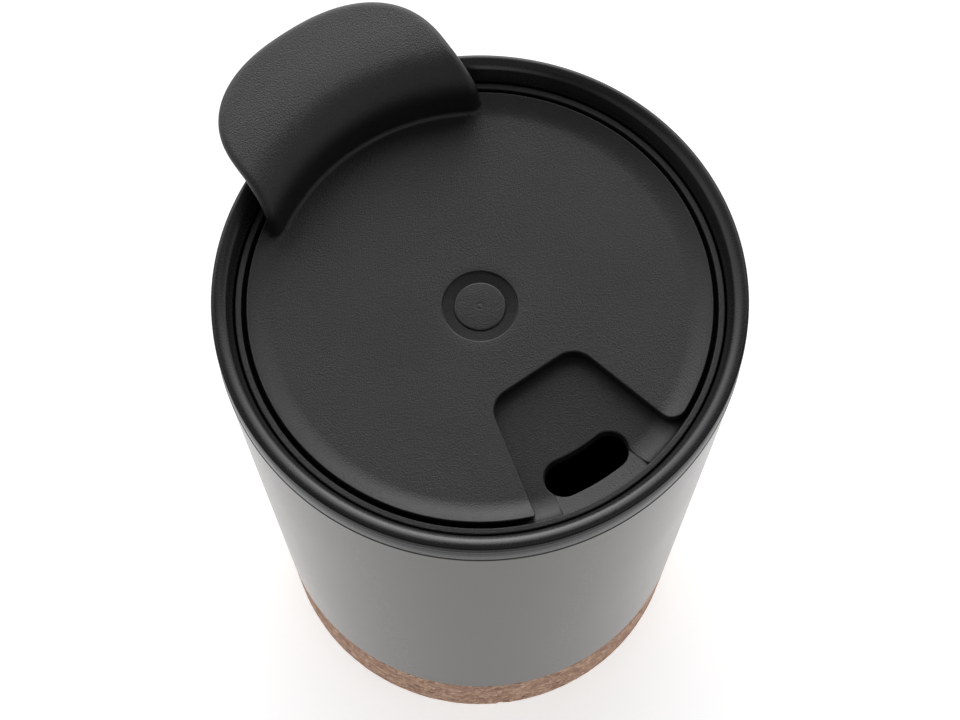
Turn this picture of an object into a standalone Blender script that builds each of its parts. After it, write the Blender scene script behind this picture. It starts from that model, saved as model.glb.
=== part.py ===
"""A double-wall travel cup with a press-in lid and a rotating closure disc.

Metres, +Z up. The origin is the centre of the flat base. The drink slot is on the -Y side of the
lid, and the closure disc is at rest in its open position, with its thumb tab on the +Y side.
"""

import math

import bmesh
import bpy

# Overall sizes
RIM_TOP = 0.112
RIM_RADIUS = 0.045
BASE_RADIUS = 0.0358
BODY_TOP = 0.1061
BODY_TOP_RADIUS = 0.04485
CORK_HEIGHT = 0.015

# Walls and the gap that separates neighbouring pieces
GAP = 0.0003
SHELL_WALL = 0.0019
LINER_WALL = 0.0014
CORK_WALL = 0.0028
CORK_FLOOR = 0.0030
EDGE_RADIUS = 0.0004

# Heights inside the lid, measured up from the base
LEDGE_TOP = 0.1030
PLATE_TOP = 0.1057
PLATE_THICKNESS = 0.0018
RING_TOP = 0.1088
PLUG_BOTTOM = 0.0953
DISC_TOP = 0.10785
DISC_BOTTOM = 0.10605

# Radii of the lid and disc
RING_OUTER = 0.04120
RING_INNER = 0.03995
RING_FILLET = 0.0030
DISC_RADIUS = 0.03925
PLUG_OUTER = 0.0386
PLUG_INNER = 0.0366

# The disc's dished rim: a bend between two radii, the slope past it, and the slope's gain per metre
DISH_START = 0.0349
DISH_KNEE = 0.0372
DISH_SLOPE = 0.39
RIM_CURL = 150.0

# Seal and its groove in the plug
SEAL_RADIUS = 0.0393
SEAL_LOW = 0.0979
SEAL_TOP = 0.1001
SEAL_GROOVE_DEPTH = 0.0011

# Drink slot, window and closing turn
SLOT_DIRECTION = math.radians(-90)
SLOT_RADIUS = 0.0331
SLOT_HALF_WIDTH = 0.0033
SLOT_HALF_ANGLE = math.radians(7.9)
RAMP_HALF_ANGLE = math.radians(12.3)
RAMP_START = 0.0350
RAMP_SINK = 0.00025
RAMP_RISE = 0.0009
DISC_TURN_AT_REST = math.radians(2.5)
WINDOW_INNER = 0.0150
WINDOW_APEX = 0.0199
WINDOW_HALF_ANGLE = math.radians(14.2)
WINDOW_CORNER = 0.0042
WINDOW_RIM_CORNER = 0.0013
CLOSING_TURN = math.radians(60)

# Thumb tab
TAB_ROOT_RADIUS = 0.0360
TAB_ROOT_Z = 0.1083
TAB_LEAN = math.radians(82)
TAB_WALL = 0.0042
TAB_BEND = 0.0060
TAB_KNEE = math.radians(33)
TAB_CROWN = 0.0090
TAB_DROOP = math.radians(4.5)
TAB_TIP = 0.0569
TAB_HALF_WIDTH = 0.0212
TAB_SHOULDER = 0.0410
TAB_OUTLINE_START = 0.0260
TAB_THICKNESS = 0.0020

# Pivot
HUB_RADIUS = 0.00636
HUB_DEPTH = 0.0004
PIN_HEAD_RADIUS = 0.0044
PIN_RADIUS = 0.0030
PIN_NECK_RADIUS = 0.0024
PIN_TIP = 0.0986
BOSS_RADIUS = 0.0075
BOSS_DEPTH = 0.00115
HEAD_SEAT = DISC_BOTTOM - 0.00035
GUIDE_RADIUS = 0.0060
GUIDE_LOW = 0.1010
CLIP_RADIUS = 0.0055
CLIP_THICKNESS = 0.0007

# Stop lug under the disc and its groove in the lid
STOP_RADIUS = 0.0200
STOP_LUG_RADIUS = 0.0015
STOP_CLEARANCE = 0.0004
STOP_DEPTH = 0.0010

STEPS = 56
PIN_STEPS = 36
SHARP_ANGLE = math.radians(35)


def wall_radius(z):
    """Outer radius of the straight tapered body at height z."""
    return BASE_RADIUS + (BODY_TOP_RADIUS - BASE_RADIUS) * z / BODY_TOP


def arc(centre_r, centre_z, radius, start_deg, end_deg, count):
    """Points of a rounded corner in a turned profile."""
    angles = [math.radians(start_deg + (end_deg - start_deg) * i / count) for i in range(count + 1)]
    return [(centre_r + radius * math.cos(a), centre_z + radius * math.sin(a)) for a in angles]


def start_scene():
    for old in list(bpy.data.objects):
        bpy.data.objects.remove(old, do_unlink=True)
    parts = bpy.data.collections.new("travel_cup")
    helpers = bpy.data.collections.new("cutters")
    for group in (parts, helpers):
        bpy.context.scene.collection.children.link(group)
    return parts, helpers


def material(name, colour, roughness, metallic=0.0):
    made = bpy.data.materials.new(name)
    made.use_nodes = True
    shader = made.node_tree.nodes["Principled BSDF"]
    shader.inputs["Base Color"].default_value = (*colour, 1.0)
    shader.inputs["Roughness"].default_value = roughness
    shader.inputs["Metallic"].default_value = metallic
    return made


def turned(name, profile, group, closed=True, sweep=math.tau, start=0.0, steps=STEPS):
    """A turned solid from a profile of (radius, z), whose outer side runs from top to bottom."""
    mesh = bpy.data.meshes.new(name)
    count = len(profile)
    edges = [(i, i + 1) for i in range(count - 1)]
    if closed:
        edges.append((count - 1, 0))
    mesh.from_pydata([(r, 0.0, z) for r, z in profile], edges, [])
    made = bpy.data.objects.new(name, mesh)
    made.rotation_euler.z = start
    group.objects.link(made)
    screw = made.modifiers.new("turn", "SCREW")
    screw.axis = "Z"
    screw.angle = sweep
    screw.steps = steps
    screw.render_steps = steps
    screw.use_merge_vertices = sweep == math.tau
    screw.merge_threshold = 0.00001
    return made


def prism(name, outline, low, high, group):
    """A flat outline in plan, filled and extruded between two heights, as a mesh."""
    curve = bpy.data.curves.new(name, "CURVE")
    curve.dimensions = "2D"
    curve.fill_mode = "BOTH"
    curve.extrude = (high - low) / 2
    spline = curve.splines.new("POLY")
    spline.points.add(len(outline) - 1)
    for point, (x, y) in zip(spline.points, outline):
        point.co = (x, y, 0.0, 1.0)
    spline.use_cyclic_u = True
    guide = bpy.data.objects.new(name + "_curve", curve)
    guide.location.z = (low + high) / 2
    group.objects.link(guide)
    made = meshed(guide, name, group)
    bpy.data.objects.remove(guide, do_unlink=True)
    return made


def meshed(source, name, group):
    """A new mesh object from the evaluated source, welded, in the source's place."""
    bpy.context.view_layer.update()
    evaluated = source.evaluated_get(bpy.context.evaluated_depsgraph_get())
    mesh = bpy.data.meshes.new_from_object(evaluated)
    shape = bmesh.new()
    shape.from_mesh(mesh)
    bmesh.ops.remove_doubles(shape, verts=shape.verts, dist=0.000001)
    bmesh.ops.recalc_face_normals(shape, faces=shape.faces)
    shape.to_mesh(mesh)
    shape.free()
    made = bpy.data.objects.new(name, mesh)
    made.matrix_world = source.matrix_world.copy()
    group.objects.link(made)
    return made


def capped(source, name, group):
    """A part-turn sweep closed with a face at each end."""
    made = meshed(source, name, group)
    bpy.data.objects.remove(source, do_unlink=True)
    shape = bmesh.new()
    shape.from_mesh(made.data)
    bmesh.ops.holes_fill(shape, edges=[e for e in shape.edges if e.is_boundary], sides=0)
    bmesh.ops.recalc_face_normals(shape, faces=shape.faces)
    shape.to_mesh(made.data)
    shape.free()
    return made


def boolean(target, other, operation):
    other.hide_render = True
    other.display_type = "WIRE"
    modifier = target.modifiers.new(operation.lower() + "_" + other.name, "BOOLEAN")
    modifier.operation = operation
    modifier.object = other
    modifier.solver = "EXACT"


def finished(source, name, slot, group):
    """The piece with its modifiers applied, its material set and its round faces shaded smooth."""
    made = meshed(source, name, group)
    bpy.data.objects.remove(source, do_unlink=True)
    made.name = name
    made.data.materials.clear()
    made.data.materials.append(slot)
    made.data.shade_smooth()
    made.data.set_sharp_from_angle(angle=SHARP_ANGLE)
    return made


def place_round(x, y):
    """The point (x, y), given along and across the disc's window axis, in plan at rest."""
    turn = SLOT_DIRECTION + DISC_TURN_AT_REST
    return (x * math.cos(turn) - y * math.sin(turn), x * math.sin(turn) + y * math.cos(turn))


def rounded_corner(corner, toward_a, toward_b, radius, count=6):
    """Arc points that round the corner between the rays to toward_a and toward_b."""
    ax, ay = toward_a[0] - corner[0], toward_a[1] - corner[1]
    bx, by = toward_b[0] - corner[0], toward_b[1] - corner[1]
    la, lb = math.hypot(ax, ay), math.hypot(bx, by)
    ax, ay, bx, by = ax / la, ay / la, bx / lb, by / lb
    half = math.acos(ax * bx + ay * by) / 2
    mx, my = ax + bx, ay + by
    lm = math.hypot(mx, my)
    cx = corner[0] + mx / lm * radius / math.sin(half)
    cy = corner[1] + my / lm * radius / math.sin(half)
    reach = radius / math.tan(half)
    first = math.atan2(corner[1] + ay * reach - cy, corner[0] + ax * reach - cx)
    last = math.atan2(corner[1] + by * reach - cy, corner[0] + bx * reach - cx)
    span = (last - first + math.pi) % math.tau - math.pi
    angles = [first + span * i / count for i in range(count + 1)]
    return [(cx + radius * math.cos(a), cy + radius * math.sin(a)) for a in angles]


def arc_slot_outline(radius, half_width, start, end, count=10):
    """A slot of constant width along an arc about the pivot, with round ends."""

    def along(distance, first, last):
        angles = [first + (last - first) * i / count for i in range(count + 1)]
        return [(distance * math.cos(a), distance * math.sin(a)) for a in angles]

    def cap(middle, first):
        x, y = radius * math.cos(middle), radius * math.sin(middle)
        angles = [first + math.pi * i / count for i in range(1, count)]
        return [(x + half_width * math.cos(a), y + half_width * math.sin(a)) for a in angles]

    outer = along(radius + half_width, start, end)
    inner = along(radius - half_width, end, start)
    return outer + cap(end, end) + inner + cap(start, start + math.pi)


def outer_shell(slot, parts, helpers):
    neck_outer, neck_inner, neck_top = 0.0434, 0.0424, 0.1092
    bore_low, bore_top, neck_foot = 0.0185, 0.1040, 0.1052
    cork_line = CORK_HEIGHT + GAP
    foot = CORK_FLOOR + GAP
    inset = CORK_WALL + GAP
    profile = [
        (neck_inner, neck_top),
        (neck_outer, neck_top),
        (neck_outer, BODY_TOP),
        *arc(BODY_TOP_RADIUS - EDGE_RADIUS, BODY_TOP - EDGE_RADIUS, EDGE_RADIUS, 90, 0, 3),
        (wall_radius(cork_line), cork_line),
        (wall_radius(cork_line) - inset, cork_line),
        (wall_radius(foot) - inset, foot),
        (wall_radius(foot) - inset - SHELL_WALL, foot),
        (wall_radius(cork_line) - inset - SHELL_WALL, cork_line),
        (wall_radius(bore_low) - SHELL_WALL, bore_low),
        (wall_radius(bore_top) - SHELL_WALL, bore_top),
        (neck_inner, neck_foot),
    ]
    return finished(turned("outer_shell_raw", profile, helpers), "outer_shell", slot, parts)


def inner_liner(slot, parts, helpers):
    """The cup's inside and its rolled rim, which hangs over the neck of the outer shell."""
    floor, foot_radius, foot_corner = 0.0140, 0.0296, 0.0040
    wall_top, wall_low_radius, wall_top_radius = 0.0945, 0.0396, 0.0399
    mouth, mouth_wall = 0.0415, 0.0006
    lip_low, skirt, skirt_inner = RIM_TOP - 0.0025, 0.04480, 0.0437
    crest, crown = 0.0442, 0.0008
    foot_centre = (foot_radius - foot_corner, floor + foot_corner)
    profile = [
        (0.0, floor),
        *arc(*foot_centre, foot_corner, -90, -5, 4),
        (wall_low_radius, wall_top),
        (wall_top_radius, LEDGE_TOP),
        (mouth, LEDGE_TOP),
        (mouth, lip_low - 0.0002),
        (mouth + 0.0002, lip_low + 0.0005),
        (mouth + 0.0010, RIM_TOP - 0.0009),
        (mouth + 0.0016, RIM_TOP - 0.0005),
        (crest - 0.0006, RIM_TOP - 0.00015),
        *arc(crest, RIM_TOP - crown, crown, 90, 0, 6),
        (RIM_RADIUS, RIM_TOP - 0.0014),
        (RIM_RADIUS - 0.0003, RIM_TOP - 0.0021),
        (RIM_RADIUS - 0.0002, RIM_TOP - 0.0028),
        (skirt, RIM_TOP - 0.0034),
        (skirt, BODY_TOP + GAP),
        (skirt_inner, BODY_TOP + GAP),
        (skirt_inner, lip_low),
        (mouth + mouth_wall, lip_low),
        (mouth + mouth_wall, LEDGE_TOP - 0.0010),
        (wall_top_radius + LINER_WALL, LEDGE_TOP - 0.0020),
        (wall_low_radius + LINER_WALL, wall_top),
        *arc(*foot_centre, foot_corner + LINER_WALL, -5, -90, 4),
        (0.0, floor - LINER_WALL),
    ]
    raw = turned("inner_liner_raw", profile, helpers, closed=False)
    return finished(raw, "inner_liner", slot, parts)


def base_plate(slot, parts, helpers):
    low, top, flange_top, flange = CORK_FLOOR + GAP, 0.0051, 0.0080, 0.0015
    outer = wall_radius(low) - CORK_WALL - GAP - SHELL_WALL - GAP
    profile = [
        (0.0, top),
        (outer - flange, top),
        (outer - flange, flange_top),
        (outer, flange_top),
        (outer, low),
        (0.0, low),
    ]
    raw = turned("base_plate_raw", profile, helpers, closed=False)
    return finished(raw, "base_plate", slot, parts)


def cork_base(slot, parts, helpers):
    edge = 0.0008
    profile = [
        (0.0, CORK_FLOOR),
        (wall_radius(CORK_FLOOR) - CORK_WALL, CORK_FLOOR),
        (wall_radius(CORK_HEIGHT) - CORK_WALL, CORK_HEIGHT),
        (wall_radius(CORK_HEIGHT), CORK_HEIGHT),
        *arc(wall_radius(edge) - edge, edge, edge, 0, -90, 3),
        (0.0, 0.0),
    ]
    raw = turned("cork_base_raw", profile, helpers, closed=False)
    return finished(raw, "cork_base", slot, parts)


def lid_body(slot, parts, helpers):
    bore = PIN_RADIUS + GAP
    recess = DISC_BOTTOM - BOSS_DEPTH - GAP
    plate_under = PLATE_TOP - PLATE_THICKNESS
    boss, boss_under = BOSS_RADIUS + 0.0018, plate_under - 0.0012
    fillet_r = RING_INNER - RING_FILLET
    lip = 0.0002
    seal_wall = PLUG_OUTER - SEAL_GROOVE_DEPTH
    profile = [
        (bore, recess),
        (BOSS_RADIUS + GAP, recess),
        (BOSS_RADIUS + GAP, PLATE_TOP),
        *arc(fillet_r, PLATE_TOP + RING_FILLET, RING_FILLET, -90, -2, 6),
        (RING_INNER + lip, RING_TOP),
        (RING_OUTER - lip, RING_TOP),
        (RING_OUTER, RING_TOP - lip),
        (RING_OUTER, LEDGE_TOP + GAP),
        (PLUG_OUTER, LEDGE_TOP + GAP),
        (PLUG_OUTER, SEAL_TOP + GAP),
        (seal_wall, SEAL_TOP + GAP),
        (seal_wall, SEAL_LOW - GAP),
        (PLUG_OUTER, SEAL_LOW - GAP),
        (PLUG_OUTER, PLUG_BOTTOM + EDGE_RADIUS),
        (PLUG_OUTER - EDGE_RADIUS, PLUG_BOTTOM),
        (PLUG_INNER, PLUG_BOTTOM),
        (PLUG_INNER, plate_under),
        (boss, plate_under),
        (boss, boss_under),
        (GUIDE_RADIUS, boss_under),
        (GUIDE_RADIUS, GUIDE_LOW),
        (bore, GUIDE_LOW),
    ]
    body = turned("lid_body_raw", profile, helpers)
    above = RING_TOP + 0.001
    cutter_span = (plate_under - 0.002, above)

    slot_outline = arc_slot_outline(
        SLOT_RADIUS, SLOT_HALF_WIDTH, SLOT_DIRECTION - SLOT_HALF_ANGLE, SLOT_DIRECTION + SLOT_HALF_ANGLE
    )
    boolean(body, prism("slot_cutter", slot_outline, *cutter_span, helpers), "DIFFERENCE")

    opposite = SLOT_DIRECTION + DISC_TURN_AT_REST + math.pi
    groove_outline = arc_slot_outline(
        STOP_RADIUS, STOP_LUG_RADIUS + STOP_CLEARANCE, opposite, opposite + CLOSING_TURN, 16
    )
    groove_floor = DISC_BOTTOM - STOP_DEPTH - STOP_CLEARANCE
    boolean(body, prism("groove_cutter", groove_outline, groove_floor, above, helpers), "DIFFERENCE")

    ramp_profile = [
        (RAMP_START, above),
        (RING_INNER, above),
        (RING_INNER, PLATE_TOP + RAMP_RISE + EDGE_RADIUS),
        (RING_INNER - EDGE_RADIUS, PLATE_TOP + RAMP_RISE),
        (RAMP_START, PLATE_TOP - RAMP_SINK),
    ]
    ramp = turned(
        "ramp_raw",
        ramp_profile,
        helpers,
        sweep=2 * RAMP_HALF_ANGLE,
        start=SLOT_DIRECTION - RAMP_HALF_ANGLE,
        steps=6,
    )
    boolean(body, capped(ramp, "ramp_cutter", helpers), "DIFFERENCE")
    return finished(body, "lid_body", slot, parts)


def lid_seal(slot, parts, helpers):
    """A ring with two thin fins that reach for the wall of the liner."""
    inner = PLUG_OUTER - SEAL_GROOVE_DEPTH + GAP
    tip, fin = 0.0003, 0.0008
    profile = [
        (inner, SEAL_TOP),
        (PLUG_OUTER, SEAL_TOP),
        (SEAL_RADIUS, SEAL_TOP - tip),
        (SEAL_RADIUS, SEAL_TOP - 2 * tip),
        (PLUG_OUTER, SEAL_TOP - fin),
        (PLUG_OUTER, SEAL_LOW + fin),
        (SEAL_RADIUS, SEAL_LOW + 2 * tip),
        (SEAL_RADIUS, SEAL_LOW + tip),
        (PLUG_OUTER, SEAL_LOW),
        (inner, SEAL_LOW),
    ]
    return finished(turned("lid_seal_raw", profile, helpers), "lid_seal", slot, parts)


def dish(radius):
    """Height that the disc's surface gains: flat, then a bend, then an upturned rim."""
    bend = DISH_KNEE - DISH_START
    along = min(max(radius - DISH_START, 0.0), bend)
    beyond = max(radius - DISH_KNEE, 0.0)
    return DISH_SLOPE * (along**2 / (2 * bend) + beyond) + RIM_CURL * beyond**2 / 2


def tab_outline(count=28):
    """The tab seen from above: parallel sides, then a rounded end."""
    power = 2 / 2.35
    points = [(TAB_OUTLINE_START, -TAB_HALF_WIDTH)]
    for i in range(count + 1):
        a = -math.pi / 2 + math.pi * i / count
        x = TAB_SHOULDER + (TAB_TIP - TAB_SHOULDER) * abs(math.cos(a)) ** power
        y = TAB_HALF_WIDTH * math.copysign(abs(math.sin(a)) ** power, math.sin(a))
        points.append((x, y))
    points.append((TAB_OUTLINE_START, TAB_HALF_WIDTH))
    return [place_round(-x, -y) for x, y in points]


def tab_front():
    """The tab's front face in section: a steep wall, two arcs and a slightly drooping end."""
    past_tip, embedded = 0.002, 0.0012
    r, z = TAB_ROOT_RADIUS, TAB_ROOT_Z
    front = [(r - 0.0001, z - embedded), (r, z)]
    r += TAB_WALL * math.cos(TAB_LEAN)
    z += TAB_WALL * math.sin(TAB_LEAN)
    front.append((r, z))
    angle = TAB_LEAN
    for radius, end, count in ((TAB_BEND, TAB_KNEE, 4), (TAB_CROWN, -TAB_DROOP, 3)):
        start = angle
        for i in range(1, count + 1):
            angle = start + (end - start) * i / count
            previous = start + (end - start) * (i - 1) / count
            r += radius * (math.sin(previous) - math.sin(angle))
            z += radius * (math.cos(angle) - math.cos(previous))
            front.append((r, z))
    run = TAB_TIP + past_tip - r
    front.append((r + run, z - run * math.tan(TAB_DROOP)))
    return front


def thumb_tab(helpers):
    """A turned flare that rises from the disc's rim and bends outward, trimmed to the tab's outline."""
    front = tab_front()
    back = []
    for i in range(len(front) - 1, -1, -1):
        before, after = front[max(i - 1, 0)], front[min(i + 1, len(front) - 1)]
        dr, dz = after[0] - before[0], after[1] - before[1]
        length = math.hypot(dr, dz)
        back.append((front[i][0] + dz / length * TAB_THICKNESS, front[i][1] - dr / length * TAB_THICKNESS))
    sweep = math.radians(84)
    middle = SLOT_DIRECTION + DISC_TURN_AT_REST + math.pi
    flare = turned(
        "flare_raw", front + back, helpers, sweep=sweep, start=middle - sweep / 2, steps=18
    )
    tab = capped(flare, "tab_flare", helpers)
    low, high = TAB_ROOT_Z - 0.008, TAB_ROOT_Z + 0.020
    boolean(tab, prism("tab_trim", tab_outline(), low, high, helpers), "INTERSECT")
    return tab


def disc_outline():
    """The disc seen from above: a circle with the window let in from its edge.

    The window has a straight inner edge, round corners and sides that flare outward along lines
    from a point behind the hub. Its sides meet the rim in small round corners.
    """
    spread = math.tan(WINDOW_HALF_ANGLE)
    inner_half = (WINDOW_INNER + WINDOW_APEX) * spread
    rim_half = (DISC_RADIUS + WINDOW_APEX) * spread
    left, right = (WINDOW_INNER, -inner_half), (WINDOW_INNER, inner_half)
    points = rounded_corner(left, (DISC_RADIUS, -rim_half), right, WINDOW_CORNER)
    points += rounded_corner(right, left, (DISC_RADIUS, rim_half), WINDOW_CORNER)

    edge = DISC_RADIUS + 0.00005
    corner = WINDOW_RIM_CORNER
    ux, uy = math.cos(WINDOW_HALF_ANGLE), math.sin(WINDOW_HALF_ANGLE)
    start_x, start_y = -WINDOW_APEX - uy * corner, ux * corner
    along = start_x * ux + start_y * uy
    reach = -along + math.sqrt(along**2 - start_x**2 - start_y**2 + (edge - corner) ** 2)
    cx, cy = start_x + ux * reach, start_y + uy * reach
    first = WINDOW_HALF_ANGLE - math.pi / 2
    last = math.atan2(cy, cx)
    rim_corner = []
    for i in range(5):
        a = first + (last - first) * i / 4
        rim_corner.append((cx + corner * math.cos(a), cy + corner * math.sin(a)))
    points += rim_corner
    for i in range(1, STEPS):
        a = last + (math.tau - 2 * last) * i / STEPS
        points.append((edge * math.cos(a), edge * math.sin(a)))
    points += [(x, -y) for x, y in reversed(rim_corner)]
    return [place_round(x, y) for x, y in points]


def stop_lug(helpers):
    """A short round lug under the disc, opposite the window, which runs in the lid's groove."""
    top, low = DISC_BOTTOM + 0.0008, DISC_BOTTOM - STOP_DEPTH
    lug = bpy.data.objects.new("stop_lug", bpy.data.meshes.new("stop_lug"))
    shape = bmesh.new()
    bmesh.ops.create_cone(
        shape,
        cap_ends=True,
        segments=20,
        radius1=STOP_LUG_RADIUS,
        radius2=STOP_LUG_RADIUS,
        depth=top - low,
    )
    shape.to_mesh(lug.data)
    shape.free()
    lug.location = (*place_round(-STOP_RADIUS, 0.0), (top + low) / 2)
    helpers.objects.link(lug)
    return lug


def closure_disc(slot, parts, helpers):
    bore = PIN_RADIUS + GAP
    head = PIN_HEAD_RADIUS + GAP
    hub_floor = DISC_TOP - HUB_DEPTH
    hub_edge = 0.0001
    thickness = DISC_TOP - DISC_BOTTOM
    edge = DISC_RADIUS - EDGE_RADIUS
    radii = [DISH_START + (edge - DISH_START) * i / 5 for i in range(6)]
    rim_under = DISC_BOTTOM + dish(edge)
    profile = [
        (bore, HEAD_SEAT),
        (head, HEAD_SEAT),
        (head, hub_floor),
        (HUB_RADIUS, hub_floor),
        (HUB_RADIUS, DISC_TOP - hub_edge),
        (HUB_RADIUS + hub_edge, DISC_TOP),
        *[(r, DISC_TOP + dish(r)) for r in radii],
        *arc(edge, DISC_TOP + dish(edge) - EDGE_RADIUS, EDGE_RADIUS, 60, 0, 2),
        (DISC_RADIUS, rim_under + 0.0003),
        (DISC_RADIUS - 0.0003, rim_under + 0.0001),
        *[(r, DISC_TOP + dish(r) - thickness) for r in reversed(radii[:-1])],
        (BOSS_RADIUS, DISC_BOTTOM),
        (BOSS_RADIUS, DISC_BOTTOM - BOSS_DEPTH),
        (bore, DISC_BOTTOM - BOSS_DEPTH),
    ]
    disc = turned("closure_disc_raw", profile, helpers)
    low, high = DISC_BOTTOM - 0.005, DISC_TOP + 0.005
    boolean(disc, prism("disc_trim", disc_outline(), low, high, helpers), "INTERSECT")
    boolean(disc, thumb_tab(helpers), "UNION")
    boolean(disc, stop_lug(helpers), "UNION")
    return finished(disc, "closure_disc", slot, parts)


def pivot_pin(slot, parts, helpers):
    under_head = HEAD_SEAT + GAP
    neck_low = GUIDE_LOW - CLIP_THICKNESS - 2 * GAP
    edge = 0.0002
    profile = [
        (0.0, DISC_TOP),
        (PIN_HEAD_RADIUS - edge, DISC_TOP),
        (PIN_HEAD_RADIUS, DISC_TOP - edge),
        (PIN_HEAD_RADIUS, under_head),
        (PIN_RADIUS, under_head),
        (PIN_RADIUS, GUIDE_LOW),
        (PIN_NECK_RADIUS, GUIDE_LOW),
        (PIN_NECK_RADIUS, neck_low),
        (PIN_RADIUS, neck_low),
        (PIN_RADIUS, PIN_TIP + EDGE_RADIUS),
        (PIN_RADIUS - EDGE_RADIUS, PIN_TIP),
        (0.0, PIN_TIP),
    ]
    raw = turned("pivot_pin_raw", profile, helpers, closed=False, steps=PIN_STEPS)
    return finished(raw, "pivot_pin", slot, parts)


def pivot_clip(slot, parts, helpers):
    inner = PIN_NECK_RADIUS + GAP
    high = GUIDE_LOW - GAP
    low = high - CLIP_THICKNESS
    profile = [(inner, high), (CLIP_RADIUS, high), (CLIP_RADIUS, low), (inner, low)]
    raw = turned("pivot_clip_raw", profile, helpers, steps=PIN_STEPS)
    return finished(raw, "pivot_clip", slot, parts)


def main():
    parts, helpers = start_scene()
    grey = material("grey_wall", (0.175, 0.175, 0.165), 0.42)
    gloss = material("black_liner", (0.012, 0.012, 0.013), 0.12)
    base = material("base_black", (0.020, 0.020, 0.021), 0.50)
    cork = material("cork", (0.210, 0.105, 0.065), 0.90)
    lid = material("lid_black", (0.030, 0.030, 0.031), 0.45)
    seal = material("seal_rubber", (0.050, 0.050, 0.052), 0.60)
    steel = material("clip_steel", (0.550, 0.550, 0.560), 0.30, 1.0)

    outer_shell(grey, parts, helpers)
    inner_liner(gloss, parts, helpers)
    base_plate(base, parts, helpers)
    cork_base(cork, parts, helpers)
    lid_body(lid, parts, helpers)
    lid_seal(seal, parts, helpers)
    closure_disc(lid, parts, helpers)
    pivot_pin(lid, parts, helpers)
    pivot_clip(steel, parts, helpers)


main()
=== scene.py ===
"""Looks for the double-wall travel cup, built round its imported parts."""

import math

import bmesh
import bpy
import numpy as np
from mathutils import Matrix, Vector
from mathutils.geometry import delaunay_2d_cdt


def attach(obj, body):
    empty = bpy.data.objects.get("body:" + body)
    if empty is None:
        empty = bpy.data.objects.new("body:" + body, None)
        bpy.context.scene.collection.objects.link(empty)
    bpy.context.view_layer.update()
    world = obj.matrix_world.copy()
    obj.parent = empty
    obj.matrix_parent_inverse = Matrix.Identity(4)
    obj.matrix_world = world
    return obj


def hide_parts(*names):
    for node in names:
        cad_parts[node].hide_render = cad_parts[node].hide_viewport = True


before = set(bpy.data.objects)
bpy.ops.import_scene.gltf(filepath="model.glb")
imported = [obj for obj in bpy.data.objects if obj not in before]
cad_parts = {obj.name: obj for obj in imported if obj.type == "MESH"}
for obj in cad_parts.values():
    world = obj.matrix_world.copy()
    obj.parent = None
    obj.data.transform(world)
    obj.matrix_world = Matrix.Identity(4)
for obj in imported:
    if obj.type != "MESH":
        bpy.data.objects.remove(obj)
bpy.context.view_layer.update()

MM = 0.001
TAU = math.tau

# Sizes in millimetres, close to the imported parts, with softer edges and corners
RIM_TOP = 112.0
BASE_RADIUS = 35.8
BODY_TOP = 106.1
BODY_TOP_RADIUS = 44.85
CORK_TOP = 15.0
PLATE_TOP = 105.7
RING_TOP = 108.8
RING_INNER = 39.95
RING_OUTER = 41.2
RING_FILLET = 5.0
RING_FILLET_RISE = 2.5
LEDGE = 103.3
DISC_TOP = 107.85
DISC_BOTTOM = 106.05
DISC_RADIUS = 39.25
DISH_START = 34.9
DISH_KNEE = 37.2
DISH_SLOPE = 0.39
RIM_CURL = 0.15
HUB_RADIUS = 6.36
HUB_DEPTH = 0.36
PIN_HEAD_RADIUS = 4.4
PIN_RADIUS = 3.0
SLOT_DIRECTION = math.radians(-90)
SLOT_RADIUS = 33.1
SLOT_HALF_WIDTH = 3.3
SLOT_HALF_ANGLE = math.radians(7.9)
RAMP_HALF_ANGLE = math.radians(12.3)
DISC_TURN = math.radians(2.5)
WINDOW_INNER = 15.0
WINDOW_APEX = 19.9
WINDOW_HALF_ANGLE = math.radians(14.2)
TAB_ROOT = 36.0
TAB_ROOT_Z = 108.3
TAB_FOOT = 107.3
TAB_LEAN = math.radians(82)
TAB_WALL = 4.2
TAB_BEND = 6.0
TAB_KNEE = math.radians(33)
TAB_CROWN = 9.0
TAB_DROOP = math.radians(4.5)
TAB_TIP = 57.6
TAB_HALF_WIDTH = 21.2
TAB_ROOT_HALF_WIDTH = 20.8
TAB_SHOULDER = 41.0
STOP_RADIUS = 20.0
STOP_LUG = 1.5
STOP_GROOVE = 1.9
STOP_TRAVEL = math.radians(60)

# Walls and hidden faces
SHELL_WALL = 1.9
SHELL_FOOT = 3.3
CORK_REBATE = 3.1
CORK_WALL = 2.8
PIN_BORE = 3.3
HUB_BOSS = 7.5
HUB_UNDER = DISC_BOTTOM - 1.15
BOSS_FOOT = 101.0

# The lid plate is plain up to PLATE_FLAT. Beyond it the ramp sector and the rest part ways,
# across a side wall RAMP_BLEND degrees wide.
PLATE_FLAT = 34.6
RAMP_START = 35.0
RAMP_END = 39.55
RAMP_LOW = PLATE_TOP - 0.40
RAMP_HIGH = PLATE_TOP + 0.74
RAMP_BLEND = 0.55

SEGMENTS = 288
CAMERA_AZIMUTH = -32.7


# ------------ meshes


def wall_radius(z):
    """The outer wall's radius at a height."""
    return BASE_RADIUS + (BODY_TOP_RADIUS - BASE_RADIUS) * z / BODY_TOP


def between(start, end, t):
    """The point a share t of the way from start to end."""
    return (start[0] + (end[0] - start[0]) * t, start[1] + (end[1] - start[1]) * t)


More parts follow.
